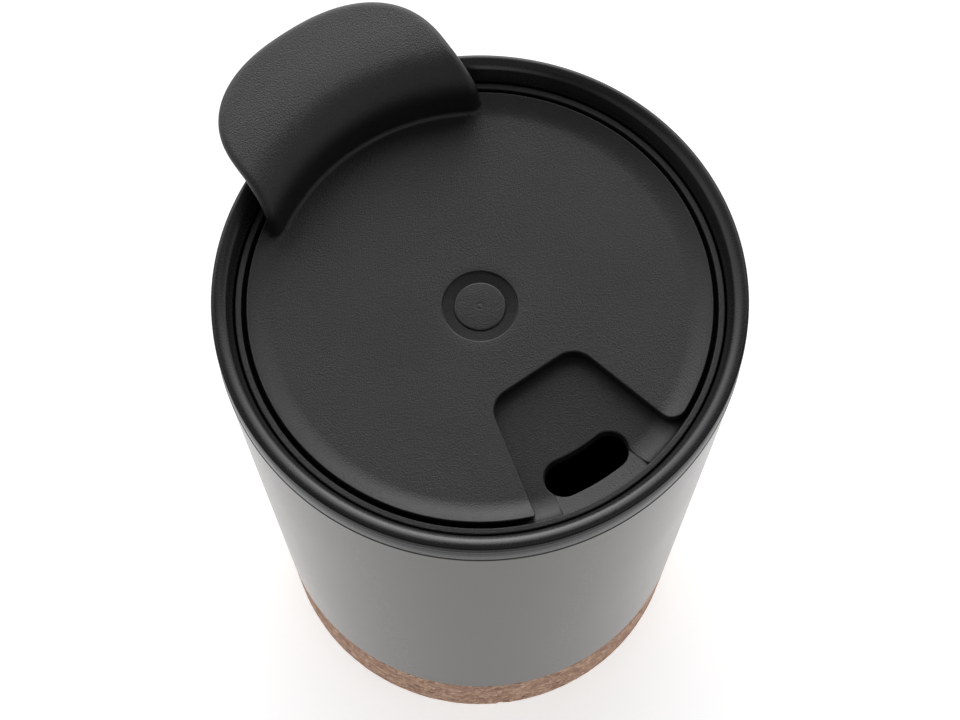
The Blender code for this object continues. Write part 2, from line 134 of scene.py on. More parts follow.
def filleted(points, closed=True, step=math.radians(11)):
    """Profile points (r, z, radius) with every corner rounded to its radius."""
    made = []
    count = len(points)
    for i, (r, z, radius) in enumerate(points):
        if radius <= 0 or (not closed and i in (0, count - 1)):
            made.append((r, z))
            continue
        here = np.array((r, z))
        before = np.array(points[i - 1][:2]) - here
        after = np.array(points[(i + 1) % count][:2]) - here
        room = 0.48 * min(np.linalg.norm(before), np.linalg.norm(after))
        before /= np.linalg.norm(before)
        after /= np.linalg.norm(after)
        half = math.acos(max(-1.0, min(1.0, float(before @ after)))) / 2
        if half > math.radians(89):
            made.append((r, z))
            continue
        reach = min(radius / math.tan(half), room)
        radius = reach * math.tan(half)
        middle = before + after
        centre = here + middle / np.linalg.norm(middle) * radius / math.sin(half)
        first = here + before * reach - centre
        last = here + after * reach - centre
        start = math.atan2(first[1], first[0])
        span = (math.atan2(last[1], last[0]) - start + math.pi) % TAU - math.pi
        steps = max(2, math.ceil(abs(span) / step))
        for k in range(steps + 1):
            a = start + span * k / steps
            made.append((centre[0] + radius * math.cos(a), centre[1] + radius * math.sin(a)))
    return made


def new_piece(name, shape):
    """An object from a bmesh in millimetres, turned outward and shaded smooth."""
    bmesh.ops.remove_doubles(shape, verts=shape.verts, dist=0.0005)
    bmesh.ops.recalc_face_normals(shape, faces=shape.faces)
    for vert in shape.verts:
        vert.co *= MM
    mesh = bpy.data.meshes.new(name)
    shape.to_mesh(mesh)
    shape.free()
    mesh.shade_smooth()
    made = bpy.data.objects.new(name, mesh)
    bpy.context.scene.collection.objects.link(made)
    return made


def even_angles(count=SEGMENTS):
    """Angles for the lines of a turned piece."""
    return [TAU * i / count for i in range(count)]


def lathe(name, profile_at, angles=None, closed=True):
    """A turned piece. profile_at is a list of (r, z), or a function that gives one for an angle."""
    angles = angles or even_angles()
    shape = bmesh.new()
    rows = []
    poles = {}
    for a in angles:
        profile = profile_at(a) if callable(profile_at) else profile_at
        row = []
        for k, (r, z) in enumerate(profile):
            if r < 1e-6:
                if k not in poles:
                    poles[k] = shape.verts.new((0, 0, z))
                row.append(poles[k])
            else:
                row.append(shape.verts.new((r * math.cos(a), r * math.sin(a), z)))
        rows.append(row)
    last = len(rows[0]) if closed else len(rows[0]) - 1
    for i, row in enumerate(rows):
        beside = rows[(i + 1) % len(rows)]
        for k in range(last):
            n = (k + 1) % len(row)
            corners = []
            for vert in (row[k], row[n], beside[n], beside[k]):
                if vert not in corners:
                    corners.append(vert)
            if len(corners) > 2:
                shape.faces.new(corners)
    return new_piece(name, shape)


def loft(name, loops):
    """A closed body through loops of 3-D points of equal count, with a flat face at each end."""
    shape = bmesh.new()
    rings = [[shape.verts.new(p) for p in loop] for loop in loops]
    for low, high in zip(rings, rings[1:]):
        for k in range(len(low)):
            n = (k + 1) % len(low)
            shape.faces.new((low[k], low[n], high[n], high[k]))
    shape.faces.new(rings[0])
    shape.faces.new(rings[-1])
    return new_piece(name, shape)


def edge_levels(edge, turned):
    """Heights and outsets of a cutter that rounds its cut's top edge through some degrees."""
    steps = 6
    levels = []
    for k in range(1, steps + 1):
        a = math.radians(turned) * k / steps
        levels.append((-edge + edge * math.sin(a), edge * (1 - math.cos(a))))
    return levels


def cut(target, other, operation):
    """target joined with or cut by other, which is then removed."""
    modifier = target.modifiers.new("cut", "BOOLEAN")
    modifier.operation = operation
    modifier.object = other
    modifier.solver = "EXACT"
    evaluated = target.evaluated_get(bpy.context.evaluated_depsgraph_get())
    mesh = bpy.data.meshes.new_from_object(evaluated)
    target.modifiers.clear()
    target.data = mesh
    bpy.data.objects.remove(other, do_unlink=True)


def smoothed(piece, angle=40):
    """Normals that follow the larger faces, and sharp edges only at real creases."""
    piece.data.shade_smooth()
    piece.data.set_sharp_from_angle(angle=math.radians(angle))
    weights = piece.modifiers.new("normals", "WEIGHTED_NORMAL")
    weights.keep_sharp = True
    weights.weight = 100


def place_disc(x, y):
    """Along and across the window's axis, to plan coordinates at rest."""
    turn = SLOT_DIRECTION + DISC_TURN
    return (x * math.cos(turn) - y * math.sin(turn), x * math.sin(turn) + y * math.cos(turn))


def offset_outline(outline, distance):
    """A closed plan outline moved along its outward normals. The outline runs anticlockwise."""
    points = np.array(outline)
    along = np.roll(points, -1, 0) - np.roll(points, 1, 0)
    along /= np.linalg.norm(along, axis=1)[:, None]
    normals = np.stack((along[:, 1], -along[:, 0]), 1)
    return points + normals * distance


def corner_arc(corner, toward_a, toward_b, radius, count=10):
    """Arc points that round the corner between the rays to toward_a and toward_b."""
    profile = [(*toward_a, 0), (*corner, radius), (*toward_b, 0)]
    return filleted(profile, closed=False, step=math.radians(90) / count)[1:-1]


def arc_slot(radius, half_width, start, end, count=24):
    """A slot of constant width along an arc about the pivot, with round ends, anticlockwise."""

    def along(distance, first, last):
        steps = [first + (last - first) * i / count for i in range(count + 1)]
        return [(distance * math.cos(a), distance * math.sin(a)) for a in steps]

    def cap(middle, first):
        x, y = radius * math.cos(middle), radius * math.sin(middle)
        steps = [first + math.pi * i / count for i in range(1, count)]
        return [(x + half_width * math.cos(a), y + half_width * math.sin(a)) for a in steps]

    outer = along(radius + half_width, start, end)
    inner = along(radius - half_width, end, start)
    return outer + cap(end, end) + inner + cap(start, start + math.pi)


# ------------ the cup


def build_shell():
    """The outer wall: straight above the cork line, stepped in behind the cork, open at its foot."""
    line = CORK_TOP + 0.12
    behind_cork = wall_radius(line) - CORK_REBATE
    foot = wall_radius(SHELL_FOOT) - CORK_REBATE
    neck, shoulder, neck_top = 42.4, 43.4, 109.2
    low, high = 18.5, 104.0
    profile = filleted([
        (neck, neck_top, 0.2),
        (shoulder, neck_top, 0.3),
        (shoulder, BODY_TOP, 0.15),
        (BODY_TOP_RADIUS, BODY_TOP, 0.15),
        (wall_radius(line), line, 0.22),
        (behind_cork, line, 0.0),
        (foot, SHELL_FOOT, 0.2),
        (foot - SHELL_WALL, SHELL_FOOT, 0.2),
        (behind_cork - SHELL_WALL, line, 0.0),
        (wall_radius(low) - SHELL_WALL, low, 0.0),
        (wall_radius(high) - SHELL_WALL, high, 0.0),
        (neck, 105.2, 0.0),
    ])
    return lathe("outer_shell_look", profile)


def build_liner():
    """The liner: its cavity, the lid's seat, the rolled rim and the skirt outside the shell's neck."""
    skirt = BODY_TOP + 0.24
    crown = 2.4
    inner_floor, outer_floor = 14.0, 12.6
    seat, seat_radius = 103.0, 41.5
    neck_top = 109.5
    crest = [
        (44.33 + crown * math.sin(a), RIM_TOP - crown * (1 - math.cos(a)), 0.0)
        for a in (math.radians(d) for d in range(-50, 9, 4))
    ]
    profile = filleted([
        (0.0, inner_floor, 0.0),
        (29.6, inner_floor, 4.0),
        (39.6, 94.5, 0.0),
        (39.9, seat, 0.3),
        (seat_radius, seat, 0.35),
        (seat_radius, 109.0, 0.9),
        *crest,
        (45.0, 111.85, 0.85),
        (45.02, 110.4, 0.6),
        (44.82, 109.9, 0.6),
        (44.88, 109.2, 0.8),
        (44.88, 108.4, 0.8),
        (44.78, skirt, 0.25),
        (43.7, skirt, 0.1),
        (43.7, neck_top, 0.2),
        (42.1, neck_top, 0.2),
        (42.1, 102.0, 0.4),
        (41.3, 101.0, 0.4),
        (41.0, 94.5, 0.0),
        (31.0, outer_floor, 4.0),
        (0.0, outer_floor, 0.0),
    ], closed=False)
    return lathe("inner_liner_look", profile, closed=False)


def build_base_plate():
    """A shallow cap that closes the shell's foot, with a rim round its upper side."""
    outer = wall_radius(SHELL_FOOT) - CORK_REBATE - SHELL_WALL - 0.3
    rim = 1.5
    floor, rim_top = 5.1, 8.0
    profile = filleted([
        (0.0, floor, 0.0),
        (outer - rim, floor, 0.4),
        (outer - rim, rim_top, 0.2),
        (outer, rim_top, 0.3),
        (outer, SHELL_FOOT, 0.3),
        (0.0, SHELL_FOOT, 0.0),
    ], closed=False)
    return lathe("base_plate_look", profile, closed=False)


def build_cork():
    """The cork foot. Its outer wall carries granules and small pits as real relief."""
    rows = 44
    foot_steps = 8
    floor = 3.0
    low_edge, top_edge = 0.8, 0.35
    wall = []
    for i in range(rows + 1):
        z = CORK_TOP - top_edge - (CORK_TOP - top_edge - low_edge) * i / rows
        wall.append((wall_radius(z), z))
    top = filleted([
        (wall_radius(CORK_TOP) - 1.5, CORK_TOP, 0.0),
        (wall_radius(CORK_TOP), CORK_TOP, top_edge),
        (wall[0][0], wall[0][1] - 0.2, 0.0),
    ], closed=False)[1:-1]
    corner = wall_radius(low_edge) - low_edge
    foot = []
    for i in range(1, foot_steps + 1):
        a = -math.pi / 2 * i / foot_steps
        foot.append((corner + low_edge * math.cos(a), low_edge + low_edge * math.sin(a)))
    profile = [
        (0.0, floor),
        (wall_radius(floor) - CORK_WALL, floor),
        (wall_radius(CORK_TOP) - CORK_WALL, CORK_TOP),
        *top,
        *wall[1:],
        *foot,
        (corner - 1.0, 0.0),
        (0.0, 0.0),
    ]
    piece = lathe("cork_base_look", profile, angles=even_angles(480), closed=False)
    roughen_cork(piece)
    return piece


def roughen_cork(piece):
    """Sinks the outer wall a little, cell by cell, and pits it here and there."""
    draw = np.random.default_rng(11)
    mesh = piece.data
    points = np.empty(len(mesh.vertices) * 3)
    mesh.vertices.foreach_get("co", points)
    points = points.reshape(-1, 3) / MM
    radius = np.hypot(points[:, 0], points[:, 1])
    outside = (radius > wall_radius(points[:, 2]) - 1.2) & (points[:, 2] < CORK_TOP - 0.05)
    outside &= points[:, 2] > 0.02
    granules = 5200
    seam_width, seam_depth = 0.25, 0.03
    batch = 4000
    angle = draw.uniform(0, TAU, granules)
    height = draw.uniform(-1, CORK_TOP + 1, granules)
    depth = draw.uniform(0.0, 0.07, granules) + 0.16 * (draw.random(granules) > 0.965)
    reach = wall_radius(height)
    centres = np.stack((reach * np.cos(angle), reach * np.sin(angle), height), 1)
    index = np.nonzero(outside)[0]
    sink = np.zeros(len(index))
    for begin in range(0, len(index), batch):
        some = points[index[begin : begin + batch]]
        gap = ((some[:, None, :] - centres[None, :, :]) ** 2).sum(2)
        order = np.argpartition(gap, 2, axis=1)[:, :2]
        near = np.take_along_axis(np.sqrt(gap), order, 1)
        swap = near[:, 0] > near[:, 1]
        order[swap] = order[swap][:, ::-1]
        near.sort(axis=1)
        seam = np.clip((near[:, 1] - near[:, 0]) / seam_width, 0, 1)
        sink[begin : begin + batch] = depth[order[:, 0]] * seam + seam_depth * (1 - seam)
    away = points[index, :2] / radius[index, None]
    points[index, :2] -= away * sink[:, None]
    mesh.vertices.foreach_set("co", (points * MM).ravel())
    mesh.update()


# ------------ the lid


def away_from_slot(a):
    """How far an angle is from the slot's direction, either way round."""
    return abs((a - SLOT_DIRECTION + math.pi) % TAU - math.pi)


def lid_angles():
    """Even steps, with finer ones where the ramp's side walls stand."""
    cleared, fine = math.radians(0.75), math.radians(0.09)
    angles = set(round(a, 7) for a in even_angles())
    angles = {a for a in angles if abs(away_from_slot(a) - RAMP_HALF_ANGLE) >= cleared}
    for side in (-1, 1):
        middle = SLOT_DIRECTION + side * RAMP_HALF_ANGLE
        for k in range(-7, 8):
            angles.add(round((middle + fine * k) % TAU, 7))
    return sorted(angles)


def plate_edge():
    """The lid plate's top outward from PLATE_FLAT, with the broad fillet up to the raised ring."""
    centre = RING_INNER - RING_FILLET
    flat_steps, fillet_steps = 7, 22
    points = []
    for i in range(flat_steps):
        points.append((PLATE_FLAT + (centre - PLATE_FLAT) * i / flat_steps, PLATE_TOP))
    for i in range(fillet_steps + 1):
        a = math.radians(-90 + 88 * i / fillet_steps)
        rise = RING_FILLET_RISE * (1 + math.sin(a))
        points.append((centre + RING_FILLET * math.cos(a), PLATE_TOP + rise))
    return points


def ramp_edge(plain):
    """The same points where the ramp is: a small dip, a straight climb, then a steep step to the ring."""
    wall_steps = 7
    straight = len(plain) - 1 - wall_steps
    points = []
    for i in range(straight + 1):
        r = PLATE_FLAT + (RAMP_END - PLATE_FLAT) * i / straight
        rise = max(0.0, r - RAMP_START) / (RAMP_END - RAMP_START)
        ease = min(1.0, max(0.0, (r - PLATE_FLAT) / (RAMP_START - PLATE_FLAT)))
        z = PLATE_TOP * (1 - ease) + RAMP_LOW * ease + (RAMP_HIGH - RAMP_LOW) * rise
        points.append((r, z))
    turned, bend, radius = 75, 0.6, 0.3
    for i in range(1, wall_steps):
        along = i / wall_steps
        bent = turned * min(1.0, along / bend)
        climb = max(0.0, (along - bend) / (1 - bend))
        r = RAMP_END + radius * math.sin(math.radians(bent))
        z = RAMP_HIGH + 0.1 + radius * (1 + math.sin(math.radians(bent - turned)))
        z += climb * (plain[-1][1] - RAMP_HIGH - 0.4)
        points.append((min(r, RING_INNER), z))
    return points + [plain[-1]]


def build_lid():
    """The lid plate with its raised ring, the ramp at the slot, the plug skirt and the pivot's boss."""
    well, boss = 7.8, 9.3
    recess = HUB_UNDER - 0.3
    plate_under = PLATE_TOP - 1.8
    plug_outer, plug_inner, plug_foot = 38.6, 36.6, 95.3
    groove_floor, groove_low, groove_high = 37.5, 97.6, 100.4
    lip = 0.28
    head = filleted([
        (PIN_BORE, recess, 0.0),
        (well, recess, 0.1),
        (well, PLATE_TOP, 0.2),
        *((r, PLATE_TOP, 0.0) for r in range(10, 34, 2)),
        (34.0, PLATE_TOP, 0.0),
    ], closed=False)
    tail = filleted([
        (RING_INNER, RING_TOP - 0.6, 0.0),
        (RING_INNER + 0.12, RING_TOP, lip),
        (RING_OUTER, RING_TOP, lip),
        (RING_OUTER, LEDGE, 0.3),
        (plug_outer, LEDGE, 0.2),
        (plug_outer, groove_high, 0.15),
        (groove_floor, groove_high, 0.0),
        (groove_floor, groove_low, 0.0),
        (plug_outer, groove_low, 0.15),
        (plug_outer, plug_foot, 0.5),
        (plug_inner, plug_foot, 0.5),
        (plug_inner, plate_under, 0.8),
        (boss, plate_under, 0.2),
        (boss, plate_under - 1.2, 0.3),
        (6.0, plate_under - 1.2, 0.0),
        (6.0, BOSS_FOOT, 0.2),
        (PIN_BORE, BOSS_FOOT, 0.0),
    ], closed=False)[1:]
    plain = plate_edge()
    ramped = ramp_edge(plain)

    def profile_at(a):
        beyond = math.degrees(away_from_slot(a) - RAMP_HALF_ANGLE)
        t = min(1.0, max(0.0, 0.5 - beyond / RAMP_BLEND))
        share = t * t * (3 - 2 * t)
        return head + [between(p, q, share) for p, q in zip(plain, ramped)] + tail

    lid = lathe("lid_body_look", profile_at, angles=lid_angles())

    slot = arc_slot(
        SLOT_RADIUS, SLOT_HALF_WIDTH, SLOT_DIRECTION - SLOT_HALF_ANGLE, SLOT_DIRECTION + SLOT_HALF_ANGLE
    )
    edge = 0.3
    levels = [(-3.5, -0.16), (-0.98, -0.16), (-0.9, -0.12), (-0.9, -0.02), (-0.84, 0.0), (-edge, 0.0)]
    levels += edge_levels(edge, 85) + [(0.6, edge + 0.02)]
    loops = [[(x, y, PLATE_TOP + z) for x, y in offset_outline(slot, out)] for z, out in levels]
    cut(lid, loft("slot_cutter", loops), "DIFFERENCE")

    opposite = SLOT_DIRECTION + DISC_TURN + math.pi
    groove = arc_slot(STOP_RADIUS, STOP_GROOVE, opposite, opposite + STOP_TRAVEL)
    loops = [[(x, y, z) for x, y in groove] for z in (DISC_BOTTOM - 1.4, PLATE_TOP + 1)]
    cut(lid, loft("groove_cutter", loops), "DIFFERENCE")
    return lid


def build_seal():
    """The soft ring in the plug's groove, in its free shape: its two lips stop short of the liner."""
    inner, waist, lip = 37.8, 38.6, 39.3
    profile = filleted([
        (inner, 100.1, 0.1),
        (waist, 100.1, 0.1),
        (lip, 99.8, 0.12),
        (lip, 99.5, 0.12),
        (waist, 99.3, 0.15),
        (waist, 98.7, 0.15),
        (lip, 98.5, 0.12),
        (lip, 98.2, 0.12),
        (waist, 97.9, 0.1),
        (inner, 97.9, 0.1),
    ])
    return lathe("lid_seal_look", profile)


def build_pin():
    """The pivot. Its head stands in the hub's recess, level with the disc, with a tiny moulding mark."""
    top = DISC_TOP - 0.06
    seat = DISC_BOTTOM - 0.05
    neck, neck_foot, foot = 2.4, 99.7, 98.6
    profile = filleted([
        (0.0, top + 0.02, 0.0),
        (0.24, top + 0.02, 0.05),
        (0.36, top - 0.02, 0.06),
        (0.6, top - 0.02, 0.1),
        (0.8, top, 0.1),
        (PIN_HEAD_RADIUS, top, 0.26),
        (PIN_HEAD_RADIUS, seat, 0.0),
        (PIN_RADIUS, seat, 0.0),
        (PIN_RADIUS, BOSS_FOOT, 0.0),
        (neck, BOSS_FOOT, 0.0),
        (neck, neck_foot, 0.0),
        (PIN_RADIUS, neck_foot, 0.15),
        (PIN_RADIUS, foot, 0.4),
        (0.0, foot, 0.0),
    ], closed=False)
    return lathe("pivot_pin_look", profile, angles=even_angles(128), closed=False)


def build_clip():
    """The washer that holds the pin, in the pin's neck."""
    inner, outer, low, high = 2.7, 5.5, 100.0, 100.7
    profile = filleted([
        (inner, high, 0.12),
        (outer, high, 0.15),
        (outer, low, 0.15),
        (inner, low, 0.12),
    ])
    return lathe("pivot_clip_look", profile, angles=even_angles(128))


# ------------ the closure disc


def dish(r):
    """How far the disc has risen at a radius: flat, then a bend, then an upturned rim."""
    bend = DISH_KNEE - DISH_START
    along = min(max(r - DISH_START, 0.0), bend)
    beyond = max(r - DISH_KNEE, 0.0)
    return DISH_SLOPE * (along**2 / (2 * bend) + beyond) + RIM_CURL * beyond**2 / 2


def window_side(rim_corner):
    """Half of the window's edge, from its inner corner to beyond the rim, where it rounds into it."""
    inner_corner = 4.2
    spread = math.tan(WINDOW_HALF_ANGLE)
    inner = (WINDOW_INNER + WINDOW_APEX) * spread
    rim = (DISC_RADIUS + WINDOW_APEX) * spread
    left, right = (WINDOW_INNER, -inner), (WINDOW_INNER, inner)

    # The rim corner's centre is one radius from the side and one radius inside the rim
    ux, uy = math.cos(WINDOW_HALF_ANGLE), math.sin(WINDOW_HALF_ANGLE)
    start = (-WINDOW_APEX - uy * rim_corner, ux * rim_corner)
    along = start[0] * ux + start[1] * uy
    edge = DISC_RADIUS + 0.02
    spare = along**2 - start[0] ** 2 - start[1] ** 2 + (edge - rim_corner) ** 2
    reach = -along + math.sqrt(spare)
    cx, cy = start[0] + ux * reach, start[1] + uy * reach

    first = WINDOW_HALF_ANGLE - math.pi / 2
    last = math.atan2(cy, cx)
    steps = 12
    flare = []
    for i in range(steps + 1):
        a = first + (last - first) * i / steps
        flare.append((cx + rim_corner * math.cos(a), cy + rim_corner * math.sin(a)))
    tip = flare[-1]
    beyond = (tip[0] + 5.0 * math.cos(last), tip[1] + 5.0 * math.sin(last))
    corner = corner_arc(right, left, (DISC_RADIUS, rim), inner_corner)
    side = [between(corner[-1], flare[0], i / 16) for i in range(1, 16)]
    return corner + side + flare + [beyond]


def window_outline():
    """The window's side and inner edges, anticlockwise, closed beyond the rim."""
    right_corner, left_corner = 2.4, 0.9
    upper = window_side(right_corner)
    lower = [(x, -y) for x, y in reversed(window_side(left_corner))]
    return [place_disc(x, y) for x, y in lower + upper][::-1]


def tab_front(s_values):
    """Radius, height and slope angle along the tab's front face, by distance from its root.

    Also the whole front's distances and how far out each has gone, to find a distance by radius.
    Below the root the face steepens to upright.
    """
    upright = math.radians(90)
    reach, samples, soften = 34, 3401, 0.8
    length = np.linspace(0, reach, samples)
    turns = [TAB_LEAN, TAB_LEAN, TAB_KNEE, 0.0, -TAB_DROOP]
    steps = [TAB_WALL, TAB_BEND * (TAB_LEAN - TAB_KNEE), TAB_CROWN * TAB_KNEE, 5.0]
    slope = np.interp(length, np.concatenate(([0], np.cumsum(steps))), turns)
    step = length[1]
    run = np.concatenate(([0], np.cumsum(np.cos(slope[:-1]) * step)))
    rise = np.concatenate(([0], np.cumsum(np.sin(slope[:-1]) * step)))
    s = np.asarray(s_values, float)
    r = TAB_ROOT + np.interp(s, length, run)
    z = TAB_ROOT_Z + np.interp(s, length, rise)
    angle = np.interp(s, length, slope)
    below = s < 0
    steep = np.minimum(upright, slope[0] + -s / soften * (upright - slope[0]))
    angle = np.where(below, steep, angle)
    mean = (steep + slope[0]) / 2
    r = np.where(below, TAB_ROOT + s * np.cos(mean), r)
    z = np.where(below, TAB_ROOT_Z + s * np.sin(mean), z)
    return r, z, angle, length, run


def half_thickness(s):
    """Half the tab's thickness, by distance from its root. It is a little thicker at the root."""
    return 1.02 + 0.13 * np.exp(-np.maximum(s, 0) / 4.0)


def tab_point(s, turn, side, inner):
    """A point of the tab: side is +1 on its front, -1 on its back, inner the depth from its outline."""
    r, z, angle, _, _ = tab_front(s)
    half = half_thickness(s)
    depth = np.clip(inner, 0, half)
    bulge = np.sqrt(half**2 - (half - depth) ** 2)
    out = side * bulge - half
    nr, nz = -np.sin(angle), np.cos(angle)
    r = r + nr * out
    z = z + nz * out
    return r, z, np.asarray(turn, float)


def tab_outline_points():
    """The tab's outline as (distance along the front, angle about the axis), anticlockwise there."""
    squareness = 2.35
    power = 2 / squareness
    tip_steps, side_steps, foot_steps, across_steps = 120, 26, 8, 60
    _, _, _, length, run = tab_front([0.0])
    plan = []
    for i in range(tip_steps + 1):
        a = -math.pi / 2 + math.pi * i / tip_steps
        x = TAB_SHOULDER + (TAB_TIP - TAB_SHOULDER) * abs(math.cos(a)) ** power
        y = TAB_HALF_WIDTH * math.copysign(abs(math.sin(a)) ** power, math.sin(a))
        plan.append((x, y))
    root_x = math.sqrt(TAB_ROOT**2 - TAB_ROOT_HALF_WIDTH**2)
    sides = []
    for i in range(side_steps):
        spread = math.sin(math.pi / 2 * i / side_steps)
        y = TAB_ROOT_HALF_WIDTH + (TAB_HALF_WIDTH - TAB_ROOT_HALF_WIDTH) * spread
        sides.append((root_x + (TAB_SHOULDER - root_x) * i / side_steps, y))
    plan = [(x, -y) for x, y in sides] + plan + list(reversed(sides))
    points = []
    for x, y in plan:
        s = float(np.interp(math.hypot(x, y) - TAB_ROOT, run, length))
        points.append((s, math.atan2(y, x)))

    # The foot goes down into the disc, where it is trimmed flat
    root_turn = points[-1][1]
    foot = 3.2
    down = [-foot * i / foot_steps for i in range(1, foot_steps + 1)]
    lower = [(s, root_turn) for s in down]
    across = [(-foot, root_turn * (1 - 2 * i / across_steps)) for i in range(1, across_steps)]
    upper = [(s, -root_turn) for s in reversed(down)]
    return resampled(points + lower + across + upper, 0.42)


def tab_metric(points):
    """3-D points on the front face for outline points."""
    s = np.array([p[0] for p in points])
    turn = np.array([p[1] for p in points])
    r, z, _, _, _ = tab_front(s)
    return np.stack((r * np.cos(turn), r * np.sin(turn), z), 1)


def resampled(points, spacing):
    """The closed outline again, with points an even distance apart on the surface."""
    closed = points + [points[0]]
    place = tab_metric(closed)
    length = np.concatenate(([0], np.cumsum(np.linalg.norm(np.diff(place, axis=0), axis=1))))
    count = int(length[-1] / spacing)
    at = np.linspace(0, length[-1], count, endpoint=False)
    s = np.interp(at, length, [p[0] for p in closed])
    turn = np.interp(at, length, [p[1] for p in closed])
    return list(zip(s, turn))


def roll_width(s):
    """How far in from the outline the rounded edge reaches. It is widest at the root."""
    return 1.1 + 0.75 * np.exp(-np.maximum(s, 0) / 4.0)


def inset_tab(points, share):
    """The outline moved inward along the surface by a share of the rounded edge's width."""
    place = tab_metric(points)
    s = np.array([p[0] for p in points])
    turn = np.array([p[1] for p in points])
    r, _, angle, _, _ = tab_front(s)
    along = np.roll(place, -1, 0) - np.roll(place, 1, 0)
    along /= np.linalg.norm(along, axis=1)[:, None]
    up = np.stack((np.cos(angle) * np.cos(turn), np.cos(angle) * np.sin(turn), np.sin(angle)), 1)
    across = np.stack((-np.sin(turn), np.cos(turn), np.zeros(len(turn))), 1)
    ds = (along * across).sum(1)
    dv = -(along * up).sum(1)
    size = np.hypot(ds, dv)
    distance = share * roll_width(s)
    return list(zip(s - ds / size * distance, turn - dv / size * distance / r))


def tab_grid(border):
    """Points inside a border, in staggered rows that are closer together near the root."""
    spacing, clear = 0.6, 0.3
    rows = np.concatenate((
        np.arange(-1.2, -0.2, 0.3),
        np.arange(-0.2, 1.6, 0.14),
        np.arange(1.6, 8, 0.4),
        np.arange(8, 26, 0.7),
    ))
    points = []
    for row, s in enumerate(rows):
        for v in np.arange(-36 + (row % 2) * spacing / 2, 36, spacing):
            if not inside(border, s, v):
                continue
            if np.min(np.hypot(border[:, 0] - s, border[:, 1] - v)) >= clear:
                points.append(Vector((s, v)))
    return points


def build_tab():
    """The thumb tab, a curved plate with fully rounded edges and a small fillet where it meets the disc."""
    outline = tab_outline_points()
    shares = [0.0, 0.035, 0.13, 0.28, 0.48, 0.72, 1.0]
    loops = [inset_tab(outline, share) for share in shares]

    # The front is meshed flat, as distance along it by angle times this radius
    stretch = 45.0
    verts, edges, depths = [], [], []
    for share, loop in zip(shares, loops):
        first = len(verts)
        count = len(loop)
        verts += [Vector((s, turn * stretch)) for s, turn in loop]
        depths += [share] * count
        edges += [(first + i, first + (i + 1) % count) for i in range(count)]
    grid = tab_grid(np.array([(s, turn * stretch) for s, turn in loops[-1]]))
    verts += grid
    depths += [1.0] * len(grid)
    face = [list(range(len(outline)))]
    coords, _, faces, origin, _, _ = delaunay_2d_cdt(verts, edges, face, 1, 1e-5)
    share = np.array([max(depths[k] for k in source) if source else 1.0 for source in origin])
    s = np.array([c[0] for c in coords])
    turn = np.array([c[1] for c in coords]) / stretch

    # Front and back meet along the outline, where the share is nought
    middle = SLOT_DIRECTION + DISC_TURN + math.pi
    shape = bmesh.new()
    sides = {}
    for side in (1, -1):
        r, z, a = tab_point(s, turn, side, share * half_thickness(s))
        r, z, a = root_fillet(r, z, a, s, share, side)
        row = []
        for i in range(len(s)):
            if side == -1 and share[i] == 0.0:
                row.append(sides[1][i])
                continue
            turned = a[i] + middle
            row.append(shape.verts.new((r[i] * math.cos(turned), r[i] * math.sin(turned), z[i])))
        sides[side] = row
    for corners in faces:
        shape.faces.new([sides[1][k] for k in corners])
        if not all(share[k] == 0.0 for k in corners):
            shape.faces.new([sides[-1][k] for k in reversed(corners)])
    tab = new_piece("tab", shape)
    below = [(0.0, 100.0), (50.0, 100.0), (50.0, TAB_FOOT), (0.0, TAB_FOOT)]
    cut(tab, lathe("tab_trim", below, closed=False), "DIFFERENCE")
    return tab


def root_fillet(r, z, turn, s, share, side):
    """Flares the tab outward just above the disc, all round its root."""
    radius, root_zone = 0.6, 3.0
    disc = np.array([DISC_TOP + dish(v) for v in r])
    height = np.clip(z - disc, 0, radius)
    flare = radius - np.sqrt(np.maximum(0, radius**2 - (radius - height) ** 2))
    flare = np.where(s < root_zone, flare, 0.0)
    lean = np.sqrt(np.clip(1 - (1 - share) ** 2, 0, 1))
    outward = np.where(side > 0, -1.0, 1.0) * lean
    ends = np.where(np.abs(turn) > math.radians(30), 1 - share, 0.0)
    r = r + outward * flare
    turn = turn + np.sign(turn) * ends * flare / r
    return r, z, turn


def inside(polygon, x, y):
    """Whether the point lies in the closed polygon."""
    x1, y1 = polygon[:, 0], polygon[:, 1]
    x2, y2 = np.roll(x1, -1), np.roll(y1, -1)
    crosses = (y1 > y) != (y2 > y)
    with np.errstate(divide="ignore", invalid="ignore"):
        at = (x2 - x1) * (y - y1) / (y2 - y1) + x1
    return bool(np.count_nonzero(crosses & (x < at)) % 2)


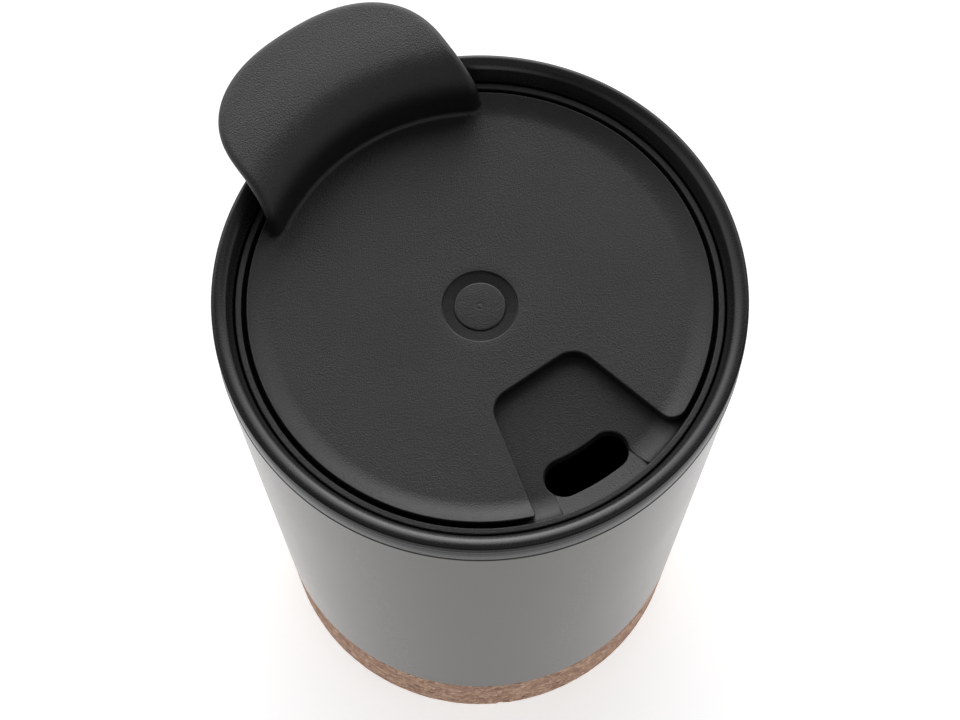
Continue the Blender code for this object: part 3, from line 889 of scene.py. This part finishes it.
def build_disc():
    """The dished disc with its hub, window, thumb tab and the stop lug beneath."""
    head = PIN_HEAD_RADIUS + 0.03
    floor = DISC_TOP - HUB_DEPTH
    seat = DISC_BOTTOM - 0.35
    thickness = DISC_TOP - DISC_BOTTOM
    rim_start = DISC_RADIUS - 0.35
    rim_steps = 18
    top = []
    for i in range(rim_steps + 1):
        r = DISH_START + (rim_start - DISH_START) * i / rim_steps
        top.append((r, DISC_TOP + dish(r), 0.0))
    edge_z = DISC_TOP + dish(DISC_RADIUS)
    under = [(r, z - thickness, 0.0) for r, z, _ in reversed(top)]
    profile = filleted([
        (PIN_BORE, seat, 0.0),
        (head, seat, 0.0),
        (head, floor, 0.03),
        (HUB_RADIUS, floor, 0.12),
        (HUB_RADIUS + 0.02, DISC_TOP, 0.2),
        *((r, DISC_TOP, 0.0) for r in range(8, 35, 2)),
        *top[:-1],
        (DISC_RADIUS - 0.05, edge_z, 0.3),
        (DISC_RADIUS, edge_z - thickness + 0.2, 0.25),
        *under[1:],
        *((r, DISC_BOTTOM, 0.0) for r in range(32, 8, -4)),
        (HUB_BOSS, DISC_BOTTOM, 0.2),
        (HUB_BOSS, HUB_UNDER, 0.15),
        (PIN_BORE, HUB_UNDER, 0.0),
    ])
    disc = lathe("closure_disc_look", profile)

    outline = window_outline()
    edge = 0.27
    flared = edge + 0.03
    loops = [[(x, y, DISC_BOTTOM - 3) for x, y in outline]]
    for drop, out in [(-edge, 0.0), *edge_levels(edge, 86), (0.3, flared)]:
        moved = offset_outline(outline, out)
        rise = [dish(min(math.hypot(x, y), DISC_RADIUS)) for x, y in moved]
        loops.append([(x, y, DISC_TOP + z + drop) for (x, y), z in zip(moved, rise)])
    loops.append([(x, y, DISC_TOP + 5) for x, y in offset_outline(outline, flared)])
    cut(disc, loft("window_cutter", loops), "DIFFERENCE")
    cut(disc, build_tab(), "UNION")

    x, y = place_disc(-STOP_RADIUS, 0.0)
    ring = [(x + STOP_LUG * math.cos(a), y + STOP_LUG * math.sin(a)) for a in even_angles(40)]
    loops = [[(px, py, z) for px, py in ring] for z in (DISC_BOTTOM - 1.0, DISC_BOTTOM + 0.8)]
    cut(disc, loft("stop_lug", loops), "UNION")
    return disc


# ------------ finishes


class Nodes:
    """A short way to build a shader's node tree."""

    def __init__(self, name):
        self.material = bpy.data.materials.new(name)
        self.material.use_nodes = True
        self.tree = self.material.node_tree
        self.shader = self.tree.nodes["Principled BSDF"]
        self.place = self.add("ShaderNodeTexCoord").outputs["Object"]

    def add(self, kind, **settings):
        """A new node with its settings."""
        node = self.tree.nodes.new(kind)
        for key, value in settings.items():
            setattr(node, key, value)
        return node

    def link(self, source, target):
        """Joins an output to an input."""
        self.tree.links.new(source, target)

    def noise(self, scale, detail=2.0, roughness=0.5, distortion=0.0, place=None):
        """Soft noise, about 0.5."""
        node = self.add("ShaderNodeTexNoise")
        self.link(place or self.place, node.inputs["Vector"])
        node.inputs["Scale"].default_value = scale
        node.inputs["Detail"].default_value = detail
        node.inputs["Roughness"].default_value = roughness
        node.inputs["Distortion"].default_value = distortion
        return node.outputs["Fac"]

    def cells(self, scale, feature="F1", randomness=1.0, place=None):
        """A cell pattern's node, with its distances and a colour for each cell."""
        node = self.add("ShaderNodeTexVoronoi", feature=feature)
        self.link(place or self.place, node.inputs["Vector"])
        node.inputs["Scale"].default_value = scale
        node.inputs["Randomness"].default_value = randomness
        return node

    def math(self, operation, a, b=0.0, c=0.0, clamp=False):
        """Arithmetic on numbers or outputs."""
        node = self.add("ShaderNodeMath", operation=operation, use_clamp=clamp)
        for socket, value in zip(node.inputs, (a, b, c)):
            if isinstance(value, (int, float)):
                socket.default_value = value
            else:
                self.link(value, socket)
        return node.outputs[0]

    def span(self, value, low, high, to_low=0.0, to_high=1.0, smooth=False):
        """value, moved from the range low to high into the range to_low to to_high."""
        node = self.add("ShaderNodeMapRange")
        if smooth:
            node.interpolation_type = "SMOOTHSTEP"
        self.link(value, node.inputs["Value"])
        numbers = {"From Min": low, "From Max": high, "To Min": to_low, "To Max": to_high}
        for key, number in numbers.items():
            node.inputs[key].default_value = number
        return node.outputs["Result"]

    def mix(self, factor, a, b):
        """A colour between a and b."""
        node = self.add("ShaderNodeMix", data_type="RGBA")
        sockets = [node.inputs[0], node.inputs[6], node.inputs[7]]
        for socket, value in zip(sockets, (factor, a, b)):
            if isinstance(value, (int, float)):
                socket.default_value = value
            elif isinstance(value, tuple):
                socket.default_value = (*value, 1.0)
            else:
                self.link(value, socket)
        return node.outputs[2]

    def bump(self, height, strength, distance, under=None):
        """A normal tilted by a height, on top of the normal under."""
        node = self.add("ShaderNodeBump")
        self.link(height, node.inputs["Height"])
        node.inputs["Strength"].default_value = strength
        node.inputs["Distance"].default_value = distance
        if under is not None:
            self.link(under, node.inputs["Normal"])
        return node.outputs["Normal"]

    def give(self, key, value):
        """Sets one of the shader's inputs to a number, a colour or an output."""
        socket = self.shader.inputs[key]
        if isinstance(value, (int, float)):
            socket.default_value = value
        elif isinstance(value, tuple):
            socket.default_value = (*value, 1.0)
        else:
            self.link(value, socket)


def scaled(colour, factor, lift=0.0):
    """A colour made lighter or darker."""
    return tuple(c * factor + lift for c in colour)


def textured_plastic(name, colour, roughness, grain_scale, grain_depth, adjust=None):
    """Dark plastic with a fine spark-eroded grain, uneven sheen and a painted highlight: sharp convex edges
    are painted lighter.

    adjust takes the nodes, may set other inputs, and gives how far the grain shows at a point.
    """
    n = Nodes(name)
    grain = n.noise(grain_scale, 3.0, 0.62)
    pits = n.cells(grain_scale * 0.55).outputs["Distance"]
    cloud = n.noise(38.0, 3.0, 0.55)
    height = n.math("ADD", grain, n.math("MULTIPLY", pits, 0.45))
    amount = n.span(cloud, 0.3, 0.7, 0.75, 1.1)
    height = n.math("MULTIPLY", height, amount)
    fine = n.span(grain, 0.3, 0.7, roughness + 0.06, roughness - 0.06)
    rough = n.math("ADD", fine, n.span(cloud, 0.25, 0.75, -0.03, 0.04))
    if adjust is not None:
        shown = adjust(n)
        height = n.math("MULTIPLY", height, shown)
        polish = n.math("ADD", n.math("MULTIPLY", shown, 0.4), 0.6)
        rough = n.math("MULTIPLY", rough, polish)
    n.give("Normal", n.bump(height, 0.85, grain_depth))
    n.give("Roughness", rough)
    tone = n.span(cloud, 0.3, 0.7, 0.93, 1.07)
    shade = n.math("MULTIPLY", tone, n.span(grain, 0.3, 0.7, 0.88, 1.12))
    base = n.add("ShaderNodeMix", data_type="RGBA", blend_type="MULTIPLY")
    base.inputs[0].default_value = 1.0
    base.inputs[6].default_value = (*colour, 1.0)
    n.link(shade, base.inputs[7])
    # Painted highlight: the base colour is made lighter on sharp convex edges, where edges catch the light.
    bent = n.add("ShaderNodeNewGeometry").outputs["Pointiness"]
    painted_edge_highlight = n.span(bent, 0.54, 0.62, 0.0, 0.22, smooth=True)
    n.give("Base Color", n.mix(painted_edge_highlight, base.outputs[2], scaled(colour, 2.2, 0.01)))
    n.give("IOR", 1.52)
    return n.material


def gloss_plastic(name, colour, roughness):
    """Polished plastic with faint flow marks and a fine grain. Its outermost side hardly reflects."""
    n = Nodes(name)
    flow = n.noise(24.0, 3.0, 0.5, 0.6)
    grain = n.noise(4200.0, 2.0, 0.6)
    n.give("Base Color", n.mix(n.span(flow, 0.3, 0.7), colour, scaled(colour, 1.25)))
    rough = n.span(flow, 0.3, 0.7, roughness - 0.03, roughness + 0.05)
    n.give("Roughness", n.math("ADD", rough, n.span(grain, 0.3, 0.7, 0.0, 0.06)))
    n.give("Normal", n.bump(grain, 0.4, 0.00004, under=n.bump(flow, 0.12, 0.0004)))
    inward = n.span(distance_from_axis(n), 0.04460, 0.04500, 0.5, 0.03, smooth=True)
    n.give("Specular IOR Level", inward)
    n.give("IOR", 1.5)
    return n.material


def satin_wall(name, colour, roughness):
    """The outer wall's moulded plastic: satin, with a very fine grain and soft unevenness."""
    n = Nodes(name)
    cloud = n.noise(14.0, 4.0, 0.5)
    grain = n.noise(2600.0, 2.0, 0.6)
    tone = n.mix(n.span(cloud, 0.3, 0.7), scaled(colour, 0.97), scaled(colour, 1.03))
    n.give("Base Color", n.mix(n.span(grain, 0.35, 0.65, 0.0, 0.06), tone, scaled(colour, 1.4)))
    rough = n.span(cloud, 0.3, 0.7, roughness - 0.02, roughness + 0.03)
    n.give("Roughness", n.math("ADD", rough, n.span(grain, 0.3, 0.7, -0.02, 0.02)))
    n.give("Normal", n.bump(grain, 0.12, 0.00004))
    n.give("IOR", 1.20)
    return n.material


def cork_finish(name):
    """Pressed cork: pale and dark granules, dark specks in the seams, and a dry sheen."""
    n = Nodes(name)
    granule = 820.0
    warp = n.add("ShaderNodeVectorMath", operation="MULTIPLY_ADD")
    wobble = n.add("ShaderNodeTexNoise")
    n.link(n.place, wobble.inputs["Vector"])
    wobble.inputs["Scale"].default_value = 900.0
    n.link(wobble.outputs["Color"], warp.inputs[0])
    warp.inputs[1].default_value = (0.0009, 0.0009, 0.0009)
    n.link(n.place, warp.inputs[2])
    place = warp.outputs[0]
    big = n.cells(granule, place=place)
    small = n.cells(2100.0, place=place)
    seam = n.cells(granule, feature="DISTANCE_TO_EDGE", place=place).outputs["Distance"]
    big_tone = n.add("ShaderNodeSeparateColor")
    n.link(big.outputs["Color"], big_tone.inputs[0])
    small_tone = n.add("ShaderNodeSeparateColor")
    n.link(small.outputs["Color"], small_tone.inputs[0])
    ramp = n.add("ShaderNodeValToRGB")
    stops = [
        (0.0, (0.145, 0.065, 0.038)),
        (0.14, (0.290, 0.146, 0.088)),
        (0.45, (0.460, 0.264, 0.170)),
        (0.75, (0.570, 0.354, 0.238)),
        (1.0, (0.750, 0.528, 0.384)),
    ]
    while len(ramp.color_ramp.elements) < len(stops):
        ramp.color_ramp.elements.new(0.5)
    for element, (at, tint) in zip(ramp.color_ramp.elements, stops):
        element.position = at
        element.color = (*tint, 1.0)
    coarse = n.math("MULTIPLY", big_tone.outputs[0], 0.62)
    n.link(n.math("ADD", coarse, n.math("MULTIPLY", small_tone.outputs[1], 0.38)), ramp.inputs[0])
    in_seam = n.span(seam, 0.0, 0.09, 0.55, 0.0, smooth=True)
    seamed = n.mix(in_seam, ramp.outputs[0], (0.130, 0.050, 0.028))
    speck = n.span(n.noise(1500.0, 2.0, 0.7, place=place), 0.64, 0.70, 0.0, 0.85, smooth=True)
    n.give("Base Color", n.mix(speck, seamed, (0.075, 0.030, 0.018)))
    n.give("Roughness", n.span(big_tone.outputs[2], 0.0, 1.0, 0.72, 0.95))
    relief = n.math("MULTIPLY", n.span(seam, 0.0, 0.12), 0.6)
    relief = n.math("ADD", relief, n.math("MULTIPLY", small.outputs["Distance"], -0.5))
    relief = n.math("SUBTRACT", relief, n.math("MULTIPLY", speck, 0.8))
    n.give("Normal", n.bump(relief, 0.7, 0.00012))
    n.give("Sheen Weight", 0.08)
    n.give("Sheen Roughness", 0.6)
    n.give("Specular IOR Level", 0.3)
    return n.material


def rubber_finish(name, colour):
    """Soft rubber with a little dust and a dull sheen."""
    n = Nodes(name)
    dust = n.noise(700.0, 4.0, 0.6)
    n.give("Base Color", n.mix(n.span(dust, 0.4, 0.7, 0.0, 0.3), colour, scaled(colour, 1.6)))
    n.give("Roughness", n.span(dust, 0.3, 0.7, 0.55, 0.72))
    n.give("Normal", n.bump(dust, 0.2, 0.00005))
    n.give("Sheen Weight", 0.15)
    return n.material


def spring_steel(name, colour):
    """Plain rolled steel with a fine uneven polish."""
    n = Nodes(name)
    grain = n.noise(1200.0, 3.0, 0.7)
    n.give("Base Color", colour)
    n.give("Metallic", 1.0)
    n.give("Roughness", n.span(grain, 0.3, 0.7, 0.24, 0.38))
    n.give("Normal", n.bump(grain, 0.15, 0.00003))
    return n.material


def distance_from_axis(n):
    """Metres from the cup's axis."""
    split = n.add("ShaderNodeSeparateXYZ")
    n.link(n.place, split.inputs[0])
    across = n.math("MULTIPLY", split.outputs[0], split.outputs[0])
    square = n.math("ADD", across, n.math("MULTIPLY", split.outputs[1], split.outputs[1]))
    return n.math("SQRT", square)


def duller_plate(n):
    """The lid's flat plate reflects a little less than its edge. Its grain shows everywhere."""
    on_plate = n.span(distance_from_axis(n), 0.0345, 0.0360, 0.38, 0.5, smooth=True)
    n.give("Specular IOR Level", on_plate)
    return 1.0


def polish_at_hub(n):
    """How far the disc's grain shows at a point: all over, but little in the hub's recess."""
    radius = distance_from_axis(n)
    outside = n.span(radius, 0.0062, 0.0066, 0.25, 1.0, smooth=True)
    return n.math("ADD", outside, n.span(radius, 0.0043, 0.0041, 0.0, 0.6, smooth=True))


# ------------ the stage


# Each light panel is its azimuth (0 behind the camera, 90 to its right, 180 beyond the cup),
# elevation, angular half-width and strength
PANELS = [
    (180.0, 8.0, 34.0, 3.1),
    (157.5, 32.0, 34.0, 2.05),
    (202.5, 32.0, 34.0, 2.05),
    (135.0, 8.0, 34.0, 0.95),
    (225.0, 8.0, 34.0, 0.85),
    (247.5, 32.0, 34.0, 0.75),
    (0.0, 38.0, 22.0, 0.82),
    (67.5, 32.0, 34.0, 0.50),
    (292.5, 32.0, 34.0, 0.45),
    (90.0, 8.0, 34.0, 0.40),
    (45.0, 76.0, 34.0, 0.22),
    (45.0, 8.0, 34.0, 0.25),
    (270.0, 8.0, 34.0, 0.25),
    (60.0, 56.0, 34.0, 0.20),
    (0.0, 30.0, 34.0, 0.12),
]


def studio():
    """A white sweep lit from far behind the cup, with dim panels round it and darkness overhead."""
    full_strength = math.cos(math.radians(8.5))
    backdrop = 1.1
    world = bpy.data.worlds.new("studio")
    bpy.context.scene.world = world
    world.use_nodes = True
    tree = world.node_tree
    tree.nodes.clear()
    link = tree.links.new

    def add(kind, **settings):
        node = tree.nodes.new(kind)
        for key, value in settings.items():
            setattr(node, key, value)
        return node

    place = add("ShaderNodeTexCoord").outputs["Generated"]
    total = None
    for azimuth, elevation, reach, strength in PANELS:
        a, e = math.radians(CAMERA_AZIMUTH + azimuth), math.radians(elevation)
        facing = add("ShaderNodeVectorMath", operation="DOT_PRODUCT")
        link(place, facing.inputs[0])
        facing.inputs[1].default_value = (
            math.sin(a) * math.cos(e), -math.cos(a) * math.cos(e), math.sin(e)
        )
        glow = add("ShaderNodeMapRange", interpolation_type="SMOOTHSTEP")
        link(facing.outputs["Value"], glow.inputs["Value"])
        glow.inputs["From Min"].default_value = math.cos(math.radians(reach))
        glow.inputs["From Max"].default_value = full_strength
        glow.inputs["To Max"].default_value = strength
        if total is None:
            total = glow.outputs["Result"]
            continue
        both = add("ShaderNodeMath", operation="ADD")
        link(total, both.inputs[0])
        link(glow.outputs["Result"], both.inputs[1])
        total = both.outputs[0]

    # The camera itself sees a plain white backdrop in place of the panels
    around = add("ShaderNodeBackground")
    link(total, around.inputs["Strength"])
    seen = add("ShaderNodeBackground")
    seen.inputs["Strength"].default_value = backdrop
    for background in (around, seen):
        background.inputs["Color"].default_value = (1.0, 1.0, 1.0, 1.0)
    path = add("ShaderNodeLightPath")
    pick = add("ShaderNodeMixShader")
    link(path.outputs["Is Camera Ray"], pick.inputs[0])
    link(around.outputs[0], pick.inputs[1])
    link(seen.outputs[0], pick.inputs[2])
    out = add("ShaderNodeOutputWorld")
    link(pick.outputs[0], out.inputs["Surface"])


def build_floor():
    """A large pale floor with a very faint mottle."""
    shape = bmesh.new()
    bmesh.ops.create_grid(shape, x_segments=8, y_segments=8, size=3.0)
    mesh = bpy.data.meshes.new("floor")
    shape.to_mesh(mesh)
    shape.free()
    floor = bpy.data.objects.new("floor", mesh)
    floor.location.z = -0.00005
    bpy.context.scene.collection.objects.link(floor)
    n = Nodes("floor_white")
    n.give("Base Color", n.mix(n.noise(30.0, 3.0), (0.62, 0.62, 0.62), (0.65, 0.65, 0.65)))
    n.give("Roughness", 0.9)
    n.give("Specular IOR Level", 0.1)
    n.give("Emission Color", (1.0, 1.0, 1.0))
    n.give("Emission Strength", 0.62)
    mesh.materials.append(n.material)


def place_camera():
    """A long lens, looking steeply down from the side opposite the thumb tab."""
    data = bpy.data.cameras.new("camera")
    data.sensor_fit = "HORIZONTAL"
    data.sensor_width = 36.0
    data.lens = 160.27
    data.clip_start, data.clip_end = 0.05, 50.0
    camera = bpy.data.objects.new("camera", data)
    camera.location = (-0.1517, -0.2363, 0.7690)
    camera.rotation_euler = (math.radians(22.288), 0.0, math.radians(CAMERA_AZIMUTH))
    bpy.context.scene.collection.objects.link(camera)
    bpy.context.scene.camera = camera


# ------------ assembly

LID_BLACK = (0.0046, 0.0045, 0.0040)
lid_grain = textured_plastic("lid_black_look", LID_BLACK, 0.41, 6000.0, 0.00009, duller_plate)
disc_grain = textured_plastic("disc_black_look", LID_BLACK, 0.41, 6000.0, 0.00009, polish_at_hub)
wall_finish = satin_wall("grey_wall_look", (0.0940, 0.0925, 0.0860), 0.18)
liner_finish = gloss_plastic("black_liner_look", (0.0098, 0.0098, 0.0105), 0.23)
base_finish = textured_plastic("base_black_look", (0.020, 0.020, 0.021), 0.5, 1800.0, 0.00005)
cork_material = cork_finish("cork_look")
seal_finish = rubber_finish("seal_rubber_look", (0.050, 0.050, 0.052))
clip_finish = spring_steel("clip_steel_look", (0.55, 0.55, 0.56))

# How each piece is built, its node, body and slot, its finish, and the angle that counts as a crease
PIECES = [
    (build_shell, "outer_shell", "cup", "grey_wall", wall_finish, 40),
    (build_liner, "inner_liner", "cup", "black_liner", liner_finish, 50),
    (build_base_plate, "base_plate", "cup", "base_black", base_finish, 40),
    (build_cork, "cork_base", "cup", "cork", cork_material, 60),
    (build_lid, "lid_body", "lid", "lid_black", lid_grain, 40),
    (build_seal, "lid_seal", "lid", "seal_rubber", seal_finish, 50),
    (build_pin, "pivot_pin", "lid", "lid_black", disc_grain, 40),
    (build_clip, "pivot_clip", "lid", "clip_steel", clip_finish, 40),
    (build_disc, "closure_disc", "closure", "lid_black", disc_grain, 45),
]

for build, node, body, slot, finish, crease in PIECES:
    piece = build()
    piece.data.materials.clear()
    piece.data.materials.append(finish)
    smoothed(piece, crease)
    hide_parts(node)
    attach(piece, body)

build_floor()
studio()
place_camera()
bpy.context.scene.view_settings.view_transform = "Standard"
